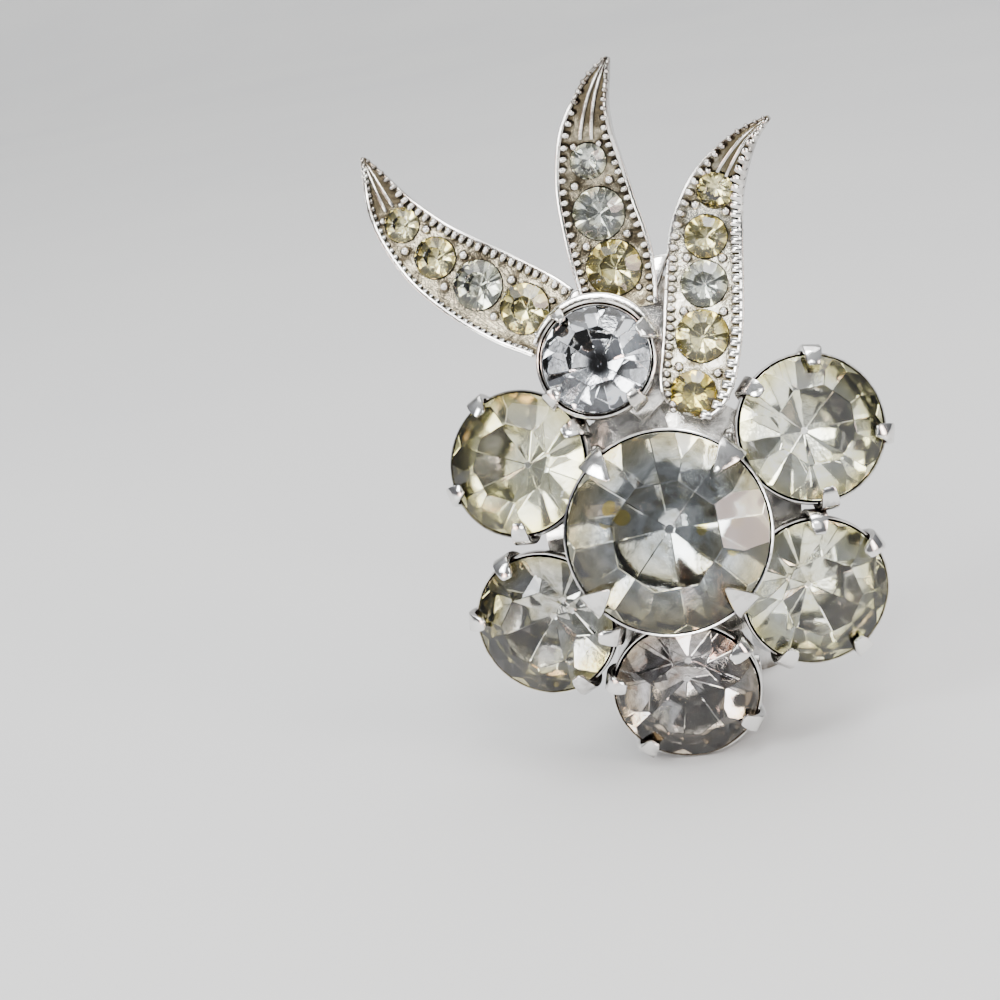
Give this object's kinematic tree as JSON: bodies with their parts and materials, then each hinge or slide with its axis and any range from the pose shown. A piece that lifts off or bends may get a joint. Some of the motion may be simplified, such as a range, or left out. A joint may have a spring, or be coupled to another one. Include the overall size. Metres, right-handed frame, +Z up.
{
  "type": "clip-on earring",
  "caption": "Clip-on earring: a flower of round cut stones under a spray of stone-set leaves, standing on its open hinged clip.",
  "frame": {"origin": "centre of the bounding box at its bottom, on the surface the earring stands on", "axes": "+Z up, -Y the way the flower faces, +X to the flower's right as seen from in front; the flower leans back 15 degrees towards +Y, where the open clip lies"},
  "size_m": [0.0218, 0.0232, 0.031],
  "materials": {
    "plated_metal": "polished bright plating, tarnished brown in its recesses",
    "clip_metal": "polished plating with fine wear",
    "smoky_glass": "cut glass with an aged foil back, grey-green",
    "pale_glass": "cut glass with an aged foil back, pale yellow",
    "clear_glass": "cut glass with a silver foil back, clear and cool",
    "khaki_glass": "small cut glass stones with a yellowed foil back",
    "amber_glass": "small cut glass stone with a foil back gone amber"
  },
  "bodies": {
    "flower": {"flower_frame": "plated_metal", "centre_cup": "plated_metal", "leaf_spray": "plated_metal", "centre_stone": "smoky_glass", "collar_stone": "clear_glass", "petal_stone_1": "pale_glass", "petal_stone_2": "pale_glass", "petal_stone_3": "smoky_glass", "petal_stone_4": "pale_glass", "petal_stone_5": "pale_glass", "left_leaf_stone_1": "khaki_glass", "left_leaf_stone_2": "khaki_glass", "left_leaf_stone_3": "khaki_glass", "left_leaf_stone_4": "khaki_glass", "up_leaf_stone_1": "khaki_glass", "up_leaf_stone_2": "khaki_glass", "up_leaf_stone_3": "khaki_glass", "right_leaf_stone_1": "amber_glass", "right_leaf_stone_2": "khaki_glass", "right_leaf_stone_3": "khaki_glass", "right_leaf_stone_4": "khaki_glass", "right_leaf_stone_5": "khaki_glass", "clip_bracket": "clip_metal", "clip_spring": "clip_metal", "clip_rivet_left": "clip_metal", "clip_rivet_right": "clip_metal", "hinge_pin": "clip_metal"},
    "clip": {"clip_paddle": "clip_metal"}
  },
  "joints": [
    {"name": "clip_hinge", "type": "hinge", "parent": "flower", "child": "clip", "pos_m": [0.0007, -0.00343, 0.0015], "axis": [1, 0, 0], "range_deg": [-25, 75]}
  ]
}
